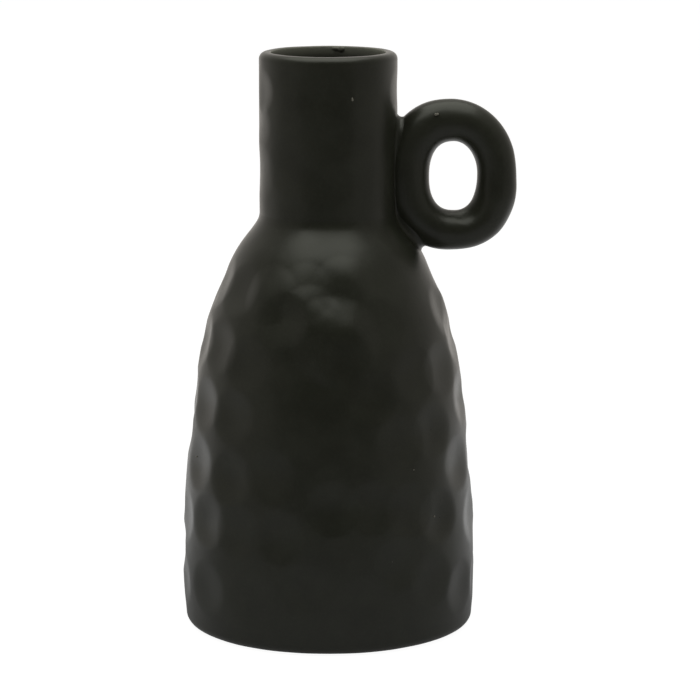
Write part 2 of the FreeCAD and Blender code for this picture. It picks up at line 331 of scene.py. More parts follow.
# %% The outline of the wall
WALL_OUTLINE_SHARES = (
    (0.0, 0.968),
    (0.06, 0.994),
    (0.18, 0.99),
    (0.3, 0.957),
    (0.42, 0.903),
    (0.52, 0.852),
    (0.61, 0.788),
    (0.69, 0.718),
    (0.75, 0.647),
    (0.805, 0.533),
    (0.86, 0.405),
    (0.905, 0.295),
    (0.945, 0.155),
    (0.975, 0.046),
    (0.99, 0.009),
    (1.0, 0.0),
)


def smooth_line(points, count):
    """Evenly spaced points on a cubic spline through the given ones."""
    steps = np.linalg.norm(np.diff(points, axis=0), axis=1)
    places = np.concatenate([[0.0], np.cumsum(steps)])
    last = len(points) - 1
    system = np.eye(last + 1)
    wanted = np.zeros_like(points)
    for i in range(1, last):
        system[i, i - 1 : i + 2] = steps[i - 1], 2 * (steps[i - 1] + steps[i]), steps[i]
        wanted[i] = 6 * ((points[i + 1] - points[i]) / steps[i] - (points[i] - points[i - 1]) / steps[i - 1])
    bends = np.linalg.solve(system, wanted)
    curve = []
    for at in np.linspace(0, places[-1], count):
        i = min(int(np.searchsorted(places, at, side="right")) - 1, last - 1)
        step = steps[i]
        ahead = places[i + 1] - at
        behind = at - places[i]
        point = (bends[i] * ahead**3 + bends[i + 1] * behind**3) / (6 * step)
        point += (points[i] / step - bends[i] * step / 6) * ahead
        point += (points[i + 1] / step - bends[i + 1] * step / 6) * behind
        curve.append(point)
    return np.array(curve)


shares = np.array(WALL_OUTLINE_SHARES)
radii = NECK_RADIUS + (BELLY_RADIUS - NECK_RADIUS) * shares[:, 1]
heights = SLAB_TOP + WALL_HEIGHT * shares[:, 0]
wall_outline = smooth_line(np.column_stack([radii, heights]), round(WALL_HEIGHT / SKIN_STEP))
print("outline:", len(wall_outline), "points, widest", round(wall_outline[:, 0].max(), 5))

# %% The plain body wall
INSIDE_STEP = 0.004
INSIDE_START = CREASE_HEIGHT - 3 * INSIDE_STEP
CORNER_FILL = 0.008


def radius_at(height):
    """The radius of the undented wall at a height."""
    return float(np.interp(height, wall_outline[:, 1], wall_outline[:, 0]))


def wall_inside():
    """The inside of the wall, from the opening under the neck down to the slab."""
    points = [(MOUTH_RADIUS, CREASE_HEIGHT)]
    for height in np.arange(INSIDE_START, SLAB_TOP + CORNER_FILL, -INSIDE_STEP):
        lean = math.atan2(radius_at(height - INSIDE_STEP) - radius_at(height + INSIDE_STEP), 2 * INSIDE_STEP)
        inward = WALL_THICKNESS * np.array([math.cos(lean), math.sin(lean)])
        points.append((radius_at(height) - inward[0], height - inward[1]))
    points = [point for point in points if point[1] > SLAB_TOP + CORNER_FILL]
    points.append((points[-1][0] - CORNER_FILL, SLAB_TOP))
    return points


body = turned("body_clay", wall_outline, wall_inside())
print("body wall:", len(body.data.vertices), "points")

# %% [markdown]
# The neck is a straight collar. Its lip is wiped round: broad on the outside, tight on the inside.

# %% The plain neck
LIP_OUTER_ROUND_SHARE = 0.6
LIP_INNER_ROUND_SHARE = 0.14
ROUND_STEP = 0.0004
ROUND_POINTS = 6
LIP_FADING = 8
LIP_OUTER_ROUND = NECK_THICKNESS * LIP_OUTER_ROUND_SHARE
LIP_INNER_ROUND = NECK_THICKNESS * LIP_INNER_ROUND_SHARE


def straight(start, end, step):
    """Points along a straight stretch of outline, without its end."""
    start = np.array(start)
    end = np.array(end)
    count = max(1, round(float(np.linalg.norm(end - start)) / step))
    return [start + (end - start) * i / count for i in range(count)]


def arc(radius, height, bend, start_degrees, end_degrees):
    """Points along an arc of outline, without its end."""
    count = max(ROUND_POINTS, round(bend / ROUND_STEP))
    turns = np.radians(np.linspace(start_degrees, end_degrees, count, endpoint=False))
    return [(radius + bend * math.cos(turn), height + bend * math.sin(turn)) for turn in turns]


outer_start = LIP_TOP - LIP_OUTER_ROUND
inner_end = LIP_TOP - LIP_INNER_ROUND
outer_middle = NECK_RADIUS - LIP_OUTER_ROUND
inner_middle = MOUTH_RADIUS + LIP_INNER_ROUND
outside = straight((NECK_RADIUS, CREASE_HEIGHT), (NECK_RADIUS, outer_start), SKIN_STEP)
outside += arc(outer_middle, outer_start, LIP_OUTER_ROUND, 0, 90)
outside += straight((outer_middle, LIP_TOP), (inner_middle, LIP_TOP), ROUND_STEP)
outside += arc(inner_middle, inner_end, LIP_INNER_ROUND, 90, 180)
inside = straight((MOUTH_RADIUS, inner_end), (MOUTH_RADIUS, CREASE_HEIGHT), SKIN_STEP)
neck = turned("neck_clay", outside, inside + [(MOUTH_RADIUS, CREASE_HEIGHT)], LIP_FADING)
print("neck:", len(neck.data.vertices), "points")

# %% [markdown]
# The foot slab has a rounded outer edge, a standing ring and a shallow hollow, so that the pot stands on a
# narrow band and doesn't rock.

# %% The plain slab
FOOT_ROUND = 0.0042
FOOT_RING_WIDTH = 0.007
FOOT_HOLLOW_DEPTH = 0.002
FOOT_HOLLOW_SLOPE = 0.0025

foot_middle = FOOT_RADIUS - FOOT_ROUND
foot_inside = foot_middle - FOOT_RING_WIDTH
outside = arc(foot_middle, FOOT_ROUND, FOOT_ROUND, -90, 0)
outside += straight((FOOT_RADIUS, FOOT_ROUND), wall_outline[0], SKIN_STEP)
outside += [wall_outline[0]]
inside = [(0, SLAB_TOP), (0, FOOT_HOLLOW_DEPTH), (foot_inside - FOOT_HOLLOW_SLOPE, FOOT_HOLLOW_DEPTH)]
inside += straight((foot_inside, 0), (foot_middle, 0), SKIN_STEP)
slab = turned("slab_clay", outside, inside)
print("slab:", len(slab.data.vertices), "points")

# %% [markdown]
# The ring handle is a rolled coil bent into a hoop. The pot side is pressed straight and the free side sags a
# little at the bottom. A curve with a bevel would give the coil, but not the swelling where it is pressed
# on, so its points are laid out in loops along the hoop, each with its own outward direction.

# %% The plain ring handle
RING_STANDOFF = 0.0033
RING_RISE = 0.0161
RING_HALF_WIDTH = 0.0197
RING_HALF_HEIGHT = 0.0238
RING_ROD_RADIUS = 0.00865
RING_TOP_SWELL = 0.0003
RING_SEAT_SWELL = 0.0017
RING_SEAT_POWER = 2
RING_FREE_POWER = 2.06
RING_SAG_POWER = 2.4
RING_ELBOW_DEGREES = -42.0
RING_ELBOW_SWELL = 0.0007
RING_ELBOW_POWER = 6
RING_PRESSED_POWER = 2.2
RING_STEPS = 200
ROD_STEPS = 72
RING_CENTRE_REACH = NECK_RADIUS + RING_STANDOFF + RING_HALF_WIDTH
RING_CENTRE_HEIGHT = CREASE_HEIGHT + RING_RISE


def ring_middle(turn):
    """A point on the middle line of the hoop."""
    across = math.cos(turn)
    up = math.sin(turn)
    if across < 0:
        power = RING_PRESSED_POWER
    elif up < 0:
        power = RING_SAG_POWER
    else:
        power = RING_FREE_POWER
    reach = (abs(across) ** power + abs(up) ** power) ** (-1 / power)
    width = RING_HALF_WIDTH * reach * across
    return Vector((RING_CENTRE_REACH + width, 0, RING_CENTRE_HEIGHT + RING_HALF_HEIGHT * reach * up))


def away_from_hoop(turn):
    """The direction outward in the hoop's plane, square to its middle line."""
    nudge = math.tau / RING_STEPS
    along = (ring_middle(turn + nudge) - ring_middle(turn - nudge)).normalized()
    return Vector((along.z, 0, -along.x))


def rod_radius(turn):
    """The radius of the coil there. It is fatter where it is pressed to the pot, and where it sags."""
    pot_side_share = ((1 - math.cos(turn)) / 2) ** RING_SEAT_POWER
    elbow_share = max(0.0, math.cos(turn - math.radians(RING_ELBOW_DEGREES))) ** RING_ELBOW_POWER
    swell = RING_SEAT_SWELL * pot_side_share + RING_ELBOW_SWELL * elbow_share
    return RING_ROD_RADIUS + RING_TOP_SWELL * math.sin(turn) + swell


def swept(name, loops, outward):
    """A closed rod through loops of points, whose last loop meets the first."""
    count = len(loops[0])
    faces = []
    for i in range(len(loops)):
        here = i * count
        ahead = (i + 1) % len(loops) * count
        for k in range(count):
            after = (k + 1) % count
            faces.append((here + k, here + after, ahead + after, ahead + k))
    return clay_object(name, [point for loop in loops for point in loop], faces, outward)


loops = []
outward = []
for turn in np.linspace(0, math.tau, RING_STEPS, endpoint=False):
    away = away_from_hoop(turn)
    leans = np.linspace(0, math.tau, ROD_STEPS, endpoint=False)
    directions = [away * math.cos(lean) + Vector((0, math.sin(lean), 0)) for lean in leans]
    loops.append([ring_middle(turn) + direction * rod_radius(turn) for direction in directions])
    outward += directions
ring = swept("ring_clay", loops, outward)
print("ring handle:", len(ring.data.vertices), "points")

# %% [markdown]
# The glaze is one dark olive-black satin glaze over everything. It breaks in three ways, and each is a small
# shader group with its own inputs, so that the other glazes on this pot can use them with other values.
# Clouding is the slow change of tone where the glaze lay thicker or thinner. Pooling reads how deep a finger
# pressed there, because glaze gathers in a dimple and shines more. Grain is the fine orange-peel that a satin
# glaze keeps after firing.

# %% Helpers for the glaze groups
def shader_group(name, inputs, outputs):
    """An empty shader node group, its given values, and its result node."""
    group = bpy.data.node_groups.new(name, "ShaderNodeTree")
    for label, kind, value in inputs:
        group.interface.new_socket(label, in_out="INPUT", socket_type=kind).default_value = value
    for label, kind in outputs:
        group.interface.new_socket(label, in_out="OUTPUT", socket_type=kind)
    return group, group.nodes.new("NodeGroupInput").outputs, group.nodes.new("NodeGroupOutput")


def noise_of(tree, where, width, detail, roughness=0.5):
    """Cloudy values between about 0.3 and 0.7, with features of that width."""
    sockets = {"Vector": where, "Scale": 1 / width, "Detail": detail, "Roughness": roughness}
    return add(tree, "ShaderNodeTexNoise", sockets).outputs[0]


def stretched(tree, value, low, high, start, end):
    """The value's stretch from low to high, laid out smoothly from start to end."""
    sockets = {"Value": value, 1: low, 2: high, 3: start, 4: end}
    return add(tree, "ShaderNodeMapRange", sockets, interpolation_type="SMOOTHSTEP").outputs[0]


# %% Clouding
CLOUD_WIDTH = 0.014
CLOUD_DETAIL = 3.0
CLOUD_RANGE = (0.3, 0.7)
CLOUD_SHARE = 0.75
SPECKLE_WIDTH = 0.0011
SPECKLE_DETAIL = 2.0
SPECKLE_RANGE = (0.45, 0.72)
SPECKLE_SHARE = 0.45
THICK_TONE = (0.011, 0.011, 0.009, 1)
THIN_TONE = (0.02, 0.02, 0.017, 1)

clouding, given, result = shader_group(
    "glaze clouding",
    [("Thick", "NodeSocketColor", THICK_TONE), ("Thin", "NodeSocketColor", THIN_TONE)],
    [("Tone", "NodeSocketColor"), ("Thinness", "NodeSocketFloat")],
)
where = add(clouding, "ShaderNodeTexCoord").outputs["Object"]
clouds = noise_of(clouding, where, CLOUD_WIDTH, CLOUD_DETAIL)
clouds = stretched(clouding, clouds, *CLOUD_RANGE, 0.0, CLOUD_SHARE)
speckle = noise_of(clouding, where, SPECKLE_WIDTH, SPECKLE_DETAIL)
speckle = stretched(clouding, speckle, *SPECKLE_RANGE, 0.0, SPECKLE_SHARE)
thinness = math_of(clouding, "ADD", clouds, speckle)
tone = add(clouding, "ShaderNodeMix", {0: thinness, 6: given["Thick"], 7: given["Thin"]}, data_type="RGBA")
clouding.links.new(tone.outputs[2], result.inputs["Tone"])
clouding.links.new(thinness, result.inputs["Thinness"])
print("clouding:", len(clouding.nodes), "nodes")

# %% Pooling and grain
POOL_START = 0.1
PEEL_WIDTH = 0.0011
SOFT_WIDTH = 5 * PEEL_WIDTH

pooling, given, result = shader_group(
    "glaze pooling", [("Deep", "NodeSocketFloat", 0.0015)], [("Pooled", "NodeSocketFloat")]
)
pressed = add(pooling, "ShaderNodeAttribute", attribute_name="pressed").outputs["Fac"]
share = math_of(pooling, "DIVIDE", pressed, given["Deep"])
pooling.links.new(stretched(pooling, share, POOL_START, 1.0, 0.0, 1.0), result.inputs["Pooled"])

grain, given, result = shader_group(
    "glaze grain", [("Softness", "NodeSocketFloat", 4.0)], [("Height", "NodeSocketFloat")]
)
where = add(grain, "ShaderNodeTexCoord").outputs["Object"]
peel = noise_of(grain, where, PEEL_WIDTH, 1.0)
soft = noise_of(grain, where, SOFT_WIDTH, 1.0)
surface = math_of(grain, "ADD", math_of(grain, "MULTIPLY", soft, given["Softness"]), peel)
grain.links.new(surface, result.inputs["Height"])
print("pooling:", len(pooling.nodes), "nodes, grain:", len(grain.nodes), "nodes")

# %% [markdown]
# The groups feed the Principled shader of each glaze. On the black glaze, gloss comes from the shader and the
# lights alone. The roughness is that of a satin glaze: the overhead softbox spreads into a grey bloom on each
# slope that faces it. Inside the mouth the tone is painted light: pale and more matt over the last few
# millimetres under the lip, and darker further down, which is painted shade. The pips' pale tone is partly
# the grit's own and partly a painted glint.

# %% Glaze materials
GRAIN_HEIGHT = 0.000008
CLOUD_ROUGHNESS = 0.08
PAINTED_LIGHT_DEPTH = 0.006
PAINTED_LIGHT_START = 0.0005


def glaze(name, thick, thin, satin, pooled_satin, specular, deep=None):
    """A satin glaze with clouding, pooling in the finger marks, and grain. With deep, the tone is painted
    light: the given tones just under the lip, fading to deep, a painted shade, further down in the mouth."""
    material = bpy.data.materials.new(name)
    material.use_nodes = True
    tree = material.node_tree
    shader = tree.nodes["Principled BSDF"]
    tones = add(tree, "ShaderNodeGroup", node_tree=clouding)
    tones.inputs["Thick"].default_value = (*thick, 1)
    tones.inputs["Thin"].default_value = (*thin, 1)
    pools = add(tree, "ShaderNodeGroup", node_tree=pooling)
    surface = add(tree, "ShaderNodeGroup", node_tree=grain)
    bump = add(tree, "ShaderNodeBump", {"Height": surface.outputs["Height"], "Distance": GRAIN_HEIGHT})
    rough = add(tree, "ShaderNodeMix", {0: pools.outputs["Pooled"], 2: satin, 3: pooled_satin})
    uneven = math_of(tree, "MULTIPLY", tones.outputs["Thinness"], CLOUD_ROUGHNESS)
    tone = tones.outputs["Tone"]
    # The pale tone under the lip is painted light, and the deep tone further down is painted shade.
    if deep:
        height = add(tree, "ShaderNodeSeparateXYZ", {0: add(tree, "ShaderNodeTexCoord").outputs["Object"]})
        rim = stretched(tree, height.outputs["Z"], LIP_TOP - PAINTED_LIGHT_DEPTH, LIP_TOP - PAINTED_LIGHT_START, 0.0, 1.0)
        tone = add(tree, "ShaderNodeMix", {0: rim, 6: (*deep, 1), 7: tone}, data_type="RGBA").outputs[2]
    tree.links.new(tone, shader.inputs["Base Color"])
    tree.links.new(math_of(tree, "ADD", rough.outputs[0], uneven), shader.inputs["Roughness"])
    tree.links.new(bump.outputs["Normal"], shader.inputs["Normal"])
    shader.inputs["Specular IOR Level"].default_value = specular
    return material


black_glaze = glaze(
    "black satin glaze",
    thick=(0.0232, 0.0246, 0.0176),
    thin=(0.0305, 0.0322, 0.0234),
    satin=0.3,
    pooled_satin=0.27,
    specular=0.5,
)
# The mouth's glaze: a pale painted light under the lip, fading to a painted shade further down.
mouth_glaze_painted_light = glaze(
    "dry inner glaze",
    thick=(0.24, 0.244, 0.21),
    thin=(0.28, 0.284, 0.24),
    satin=0.36,
    pooled_satin=0.36,
    specular=0.4,
    deep=(0.02, 0.021, 0.016),
)
# The pips' pale tone: partly the grit's own colour, partly a painted glint.
pip_grit_and_painted_glint_glaze = glaze(
    "glaze run thin",
    thick=(0.2, 0.19, 0.165),
    thin=(0.26, 0.25, 0.22),
    satin=0.4,
    pooled_satin=0.4,
    specular=0.4,
)
bare_clay = glaze(
    "bare dark clay",
    thick=(0.03, 0.026, 0.022),
    thin=(0.05, 0.044, 0.037),
    satin=0.75,
    pooled_satin=0.75,
    specular=0.2,
)
print("glazes:", black_glaze.name, "and", bare_clay.name)

# %% [markdown]
# The dimples were pressed in with a fingertip while the clay was soft, ring above ring. They follow a rule,
# so a Geometry Nodes tree makes them. It takes a list of marks, each a point with a reach and a depth, and a
# repeat zone adds up how far every mark pushes each point of the clay. The points then move in along their
# outward direction. A mark with a negative depth does the opposite: a soft swell, where the clay between the
# dimples was pushed out. A sculpted or painted map would need hand work for each mark, and here a mark can
# be moved by changing one number.

# %% The tree that presses marks into clay
press = bpy.data.node_groups.new("press finger marks", "GeometryNodeTree")
for label, kind in [
    ("Clay", "Geometry"),
    ("Finger marks", "Object"),
    ("Unevenness", "Float"),
    ("Unevenness width", "Float"),
    ("Seed", "Float"),
    ("Glaze", "Material"),
]:
    press.interface.new_socket(label, in_out="INPUT", socket_type="NodeSocket" + kind)
press.interface.new_socket("Clay", in_out="OUTPUT", socket_type="NodeSocketGeometry")
given = press.nodes.new("NodeGroupInput").outputs
here = press.nodes.new("GeometryNodeInputPosition").outputs[0]
marks = add(press, "GeometryNodeObjectInfo", {0: given["Finger marks"]}).outputs["Geometry"]
count = add(press, "GeometryNodeAttributeDomainSize", {0: marks}).outputs["Point Count"]
zone = add(press, "GeometryNodeRepeatInput", {"Iterations": count})
zone_end = press.nodes.new("GeometryNodeRepeatOutput")
zone.pair_with_output(zone_end)
zone_end.repeat_items.new("FLOAT", "Pressed")

# %% The push of each mark
BOWL_POWER = 1.5


def of_mark(kind, value):
    """A value of the mark whose turn it is."""
    sockets = {"Geometry": marks, "Value": value, "Index": zone.outputs["Iteration"]}
    return add(press, "GeometryNodeSampleIndex", sockets, data_type=kind).outputs[0]


def stored(label, kind):
    """A named value that the points carry."""
    return add(press, "GeometryNodeInputNamedAttribute", {"Name": label}, data_type=kind).outputs[0]


centre = of_mark("FLOAT_VECTOR", here)
away = add(press, "ShaderNodeVectorMath", {0: here, 1: centre}, operation="DISTANCE").outputs["Value"]
share = math_of(press, "DIVIDE", away, of_mark("FLOAT", stored("reach", "FLOAT")))
squared = math_of(press, "MULTIPLY", share, share)
bowl = math_of(press, "MAXIMUM", math_of(press, "SUBTRACT", 1.0, squared), 0.0)
depth = of_mark("FLOAT", stored("depth", "FLOAT"))
push = math_of(press, "MULTIPLY", math_of(press, "POWER", bowl, BOWL_POWER), depth)
total = math_of(press, "ADD", zone.outputs["Pressed"], push)
press.links.new(total, zone_end.inputs["Pressed"])

# %% The clay moves in
sockets = {"Geometry": given["Clay"], "Name": "pressed", "Value": zone_end.outputs["Pressed"]}
clay = add(press, "GeometryNodeStoreNamedAttribute", sockets, data_type="FLOAT", domain="POINT").outputs[0]
scale = math_of(press, "DIVIDE", 1.0, given["Unevenness width"])
sockets = {"Vector": here, "W": given["Seed"], "Scale": scale, "Detail": 1.0}
wobble = add(press, "ShaderNodeTexNoise", sockets, noise_dimensions="4D").outputs[0]
uneven = math_of(press, "MULTIPLY", wobble, given["Unevenness"])
inward = math_of(press, "ADD", uneven, stored("pressed", "FLOAT"))
sockets = {0: stored("outward", "FLOAT_VECTOR"), "Scale": math_of(press, "MULTIPLY", inward, -1.0)}
offset = add(press, "ShaderNodeVectorMath", sockets, operation="SCALE").outputs[0]
clay = add(press, "GeometryNodeSetPosition", {"Geometry": clay, "Offset": offset}).outputs[0]
clay = add(press, "GeometryNodeRealizeInstances", {"Geometry": clay}).outputs[0]
clay = add(press, "GeometryNodeSetMaterial", {"Geometry": clay, "Material": given["Glaze"]}).outputs[0]
add(press, "NodeGroupOutput", {"Clay": clay})
print("tree for marks:", len(press.nodes), "nodes")

# %% [markdown]
# A tree is run once on its piece and kept as a plain mesh. Besides the marks, every piece is a little uneven,
# as hand-worked clay is. Each has a seed, and the handle's differs from the pot's, so they don't match.

# %% Running a tree
UNEVENNESS = 0.0004
UNEVENNESS_WIDTH = 0.022
POT_SEED = 1.0
HANDLE_SEED = 2.0


def run_tree(thing, tree, values):
    """Runs a node tree on an object and keeps the result as its plain mesh."""
    modifier = thing.modifiers.new(tree.name, "NODES")
    modifier.node_group = tree
    for socket in tree.interface.items_tree:
        if socket.name in values:
            modifier[socket.identifier] = values[socket.name]
    solved = thing.evaluated_get(bpy.context.evaluated_depsgraph_get())
    mesh = bpy.data.meshes.new_from_object(solved)
    thing.modifiers.clear()
    thing.data = mesh
    mesh.name = thing.name


def press_marks(clay, presses, seed, material):
    """Presses finger marks into a piece of clay. Each is a place, a reach and a depth."""
    mesh = bpy.data.meshes.new("marks")
    mesh.from_pydata([press[0] for press in presses], [], [])
    for label, column in [("reach", 1), ("depth", 2)]:
        measures = [row[column] for row in presses]
        mesh.attributes.new(label, "FLOAT", "POINT").data.foreach_set("value", measures)
    fingers = place(bpy.data.objects.new("marks", mesh))
    values = {"Finger marks": fingers, "Unevenness": UNEVENNESS, "Unevenness width": UNEVENNESS_WIDTH}
    run_tree(clay, press, values | {"Seed": seed, "Glaze": material})
    bpy.data.objects.remove(fingers)


# %% [markdown]
# Each row of the tables below is one height: its share of the wall's height, the marks' share of the full
# depth, and their angles round the pot, with 0 in front and 90 at the handle. The front rows follow the
# photograph, the back ones go on at the same spacing. On the front shoulder a broad swell with smaller ones
# above it tilts the glaze towards the softbox, which gives the slanting bright patch. The small dimple
# between them keeps a dark spot.

# %% The body's finger marks
DIMPLE_RADIUS_SHARE = 0.0725
DIMPLE_RADIUS = WALL_HEIGHT * DIMPLE_RADIUS_SHARE
DIMPLE_DEPTH = 0.0015
DIMPLE_SHARES = (
    (0.078, 1.0, (-170, -150, -128, -104, -80, 63, 84, 105, 127, 148, 169)),
    (0.085, 0.5, (-31, 14)),
    (0.087, 0.9, (-55,)),
    (0.116, 0.5, (-10,)),
    (0.122, 0.8, (43.5,)),
    (0.145, 1.2, (-88,)),
    (0.16, 0.6, (90,)),
    (0.174, 0.7, (28,)),
    (0.243, 1.0, (-162, -141, -120, -99, -78, 77, 98, 118, 138, 158, 178)),
    (0.249, 0.6, (-38, -20)),
    (0.257, 1.0, (-56,)),
    (0.278, 1.0, (48.5,)),
    (0.305, 0.7, (34,)),
    (0.32, 0.65, (92,)),
    (0.322, 0.6, (1.5, 18)),
    (0.377, 0.9, (-43,)),
    (0.39, 1.0, (-170, -150, -129, -108, -66, 65, 87, 108, 129, 150, 170)),
    (0.394, 0.6, (-24,)),
    (0.458, 0.9, (-90,)),
    (0.475, 0.6, (31,)),
    (0.493, 0.8, (48,)),
    (0.53, 0.9, (-44,)),
    (0.54, 1.0, (-177, -156, -133, -110, -87, -65, 78, 99, 120, 141, 162)),
    (0.591, 0.6, (19,)),
    (0.635, 0.85, (40.5, 59)),
    (0.661, 0.7, (-39,)),
    (0.69, 1.0, (-168, -146, -124, -102, -80, -59, 82, 104, 126, 148, 170)),
    (0.69, 0.8, (7,)),
    (0.73, 0.5, (90,)),
    (0.759, 0.6, (25,)),
    (0.765, 1.0, (74,)),
    (0.765, 0.4, (-92,)),
    (0.771, 0.9, (-23,)),
    (0.829, 0.8, (-158, -132, -106, -80, -54, 100, 126, 152, 178)),
    (0.893, 0.8, (-140, 130)),
)
FRONT_DIMPLE_RADIUS = 0.0085
FRONT_DIMPLE_SHARES = ((0.835, 0.2, (8.5,)),)
SWELL_RADIUS = 0.0135
SWELL_SHARES = (
    (0.83, -0.75, (-33.0,)),
    (0.84, -0.6, (-14.0,)),
    (0.857, -0.55, (9.0,)),
    (0.79, -0.75, (-9.0,)),
)
BROAD_SWELL_RADIUS = 0.02
BROAD_SWELL_SHARES = ((0.729, -1.45, (3.0,)),)


# %% Press the body
def presses_in(foot, height, rows, radius, depth):
    """The finger marks of a table of rows, in a wall of that height."""
    presses = []
    for height_share, depth_share, angles in rows:
        level = foot + height * height_share
        edge = radius_at(level)
        presses += [(around(edge, level, degrees), radius, depth * depth_share) for degrees in angles]
    return presses


presses = presses_in(SLAB_TOP, WALL_HEIGHT, DIMPLE_SHARES, DIMPLE_RADIUS, DIMPLE_DEPTH)
presses += presses_in(SLAB_TOP, WALL_HEIGHT, FRONT_DIMPLE_SHARES, FRONT_DIMPLE_RADIUS, DIMPLE_DEPTH)
presses += presses_in(SLAB_TOP, WALL_HEIGHT, SWELL_SHARES, SWELL_RADIUS, DIMPLE_DEPTH)
presses += presses_in(SLAB_TOP, WALL_HEIGHT, BROAD_SWELL_SHARES, BROAD_SWELL_RADIUS, DIMPLE_DEPTH)
press_marks(body, presses, POT_SEED, black_glaze)
print("pressed", len(presses), "marks into the body")

# %% [markdown]
# The neck was drawn up between the fingers, which left wide shallow dents. The two sides have smaller ones,
# which can be seen in the outline. The slab has no marks of its own, only the unevenness of the clay.

# %% Press the neck and the slab
NECK_DENT_RADIUS_SHARE = 0.19
NECK_DENT_RADIUS = NECK_HEIGHT * NECK_DENT_RADIUS_SHARE
NECK_DENT_DEPTH = 0.0012
NECK_DENT_SHARES = (
    (0.26, 0.25, (-3,)),
    (0.27, 0.5, (-76, 165)),
    (0.33, 0.4, (-33, 120)),
    (0.42, 0.5, (-125,)),
    (0.5, 0.25, (-3,)),
    (0.72, 0.7, (-150,)),
    (0.74, 0.25, (-3,)),
    (0.76, 0.8, (150,)),
)
SIDE_DENT_RADIUS = 0.0098
SIDE_DENT_SHARES = ((0.77, 0.9, (-70,)), (0.77, 0.45, (80,)), (0.56, 0.5, (-74,)))

presses = presses_in(CREASE_HEIGHT, NECK_HEIGHT, NECK_DENT_SHARES, NECK_DENT_RADIUS, NECK_DENT_DEPTH)
presses += presses_in(CREASE_HEIGHT, NECK_HEIGHT, SIDE_DENT_SHARES, SIDE_DENT_RADIUS, NECK_DENT_DEPTH)
press_marks(neck, presses, POT_SEED, black_glaze)
press_marks(slab, [], POT_SEED, black_glaze)
print("pressed", len(presses), "dents into the neck")

# %% [markdown]
# A rolled coil keeps faint flats where the palm and the fingers held it. A row gives how far round the hoop a
# flat lies, how far round the coil from its outer side to the front, and its share of the depth.

# %% Press the ring handle
RING_DENT_RADIUS = 0.009
RING_DENT_DEPTH = 0.0004
RING_DENT_TURNS = (
    (112, 78, 0.8),
    (84, 72, 1.0),
    (56, 80, 0.7),
    (20, -70, 1.0),
    (-35, 40, 0.9),
    (100, -50, 1.0),
    (140, 30, 0.8),
    (-80, -60, 1.0),
    (5, 0, 0.6),
    (-72, 140, 1.4),
    (-46, 139, 2.5),
    (-120, 50, 0.8),
)


def on_ring(turn_degrees, lean_degrees):
    """A point on the coil, that far round the hoop, and that far from its outer side towards the front."""
    turn = math.radians(turn_degrees)
    lean = math.radians(lean_degrees)
    out = away_from_hoop(turn) * math.cos(lean) + Vector((0, -math.sin(lean), 0))
    return ring_middle(turn) + out * rod_radius(turn)


presses = []
for turn, lean, depth_share in RING_DENT_TURNS:
    presses.append((on_ring(turn, lean), RING_DENT_RADIUS, RING_DENT_DEPTH * depth_share))
press_marks(ring, presses, HANDLE_SEED, black_glaze)
print("pressed", len(presses), "dents into the ring handle")

# %% [markdown]
# The hoop was pressed against the neck and the shoulder before firing. The seam is found on the real skins,
# by walking over the pot from the middle of the seat in every direction until the coil's surface is reached.

# %% Find the seam
SEAT_RISE = 0.0125
SEAT_HEIGHT = CREASE_HEIGHT + SEAT_RISE
SEAM_STEPS = 180
SEAM_REACH = 0.05
HALVINGS = 24
RAY_START_RADIUS = 0.2


def skin_of(*things):
    """A search tree over the faces of some objects."""
    points, faces = [], []
    for thing in things:
        start = len(points)
        points += [vertex.co for vertex in thing.data.vertices]
        faces += [[start + k for k in face.vertices] for face in thing.data.polygons]
    return BVHTree.FromPolygons(points, faces)


pot_skin = skin_of(body, neck)
ring_skin = skin_of(ring)


def on_pot(degrees, height):
    """The point of the pot's outside at that angle and height, and the direction that it faces."""
    return pot_skin.ray_cast(around(RAY_START_RADIUS, height, degrees), -around(1, 0, degrees))[:2]


def snap_to_pot(point):
    """The point of the pot's outside at the same angle and height as a point near it."""
    return on_pot(math.degrees(math.atan2(point.x, -point.y)), point.z)


def gap_to_ring(point):
    """How far a point is outside the hoop's surface. Inside it the gap is negative."""
    nearest, normal = ring_skin.find_nearest(point)[:2]
    return (point - nearest).dot(normal)


seam = []
for direction in np.linspace(0, math.tau, SEAM_STEPS, endpoint=False):
    near, far = 0.0, SEAM_REACH
    for _ in range(HALVINGS):
        middle = (near + far) / 2
        degrees = 90 + math.degrees(middle * math.cos(direction) / NECK_RADIUS)
        point, faces_to = on_pot(degrees, SEAT_HEIGHT + middle * math.sin(direction))
        if gap_to_ring(point) < 0:
            near = middle
        else:
            far = middle
    seam.append((point, faces_to, ring_skin.find_nearest(point)[1]))
seam_heights = [point.z for point, _, _ in seam]
print("seam from", round(min(seam_heights), 4), "to", round(max(seam_heights), 4), "m")

# %% [markdown]
# The part of the hoop that lies inside the pot's clay is pushed out to just under the pot's skin. Real clay
# is squeezed flat there, and the hoop must not show inside the neck.

# %% Bring the hidden part of the hoop up to the pot's skin
HIDDEN_UNDER = 0.0003

hidden = 0
for vertex in ring.data.vertices:
    skin_point = snap_to_pot(vertex.co)[0]
    limit = math.hypot(skin_point.x, skin_point.y) - HIDDEN_UNDER
    reach = math.hypot(vertex.co.x, vertex.co.y)
    if reach < limit:
        vertex.co.x *= limit / reach
        vertex.co.y *= limit / reach
        hidden += 1
tidy(ring.data)
print(hidden, "points of the hoop lie under the pot's skin")

# %% [markdown]
# Slip, clay as thin as cream, was wiped along the seam to close it. It leaves a small hollow-cheeked bead,
# narrow along the sides of the hoop, and wide and full at its top and bottom, where the finger filled the
# notch. At each point of the seam the bead's profile starts on the pot's skin, bends through the corner, and
# ends on the hoop's skin, so it meets both without a step. Its underside is sunk a little into both.

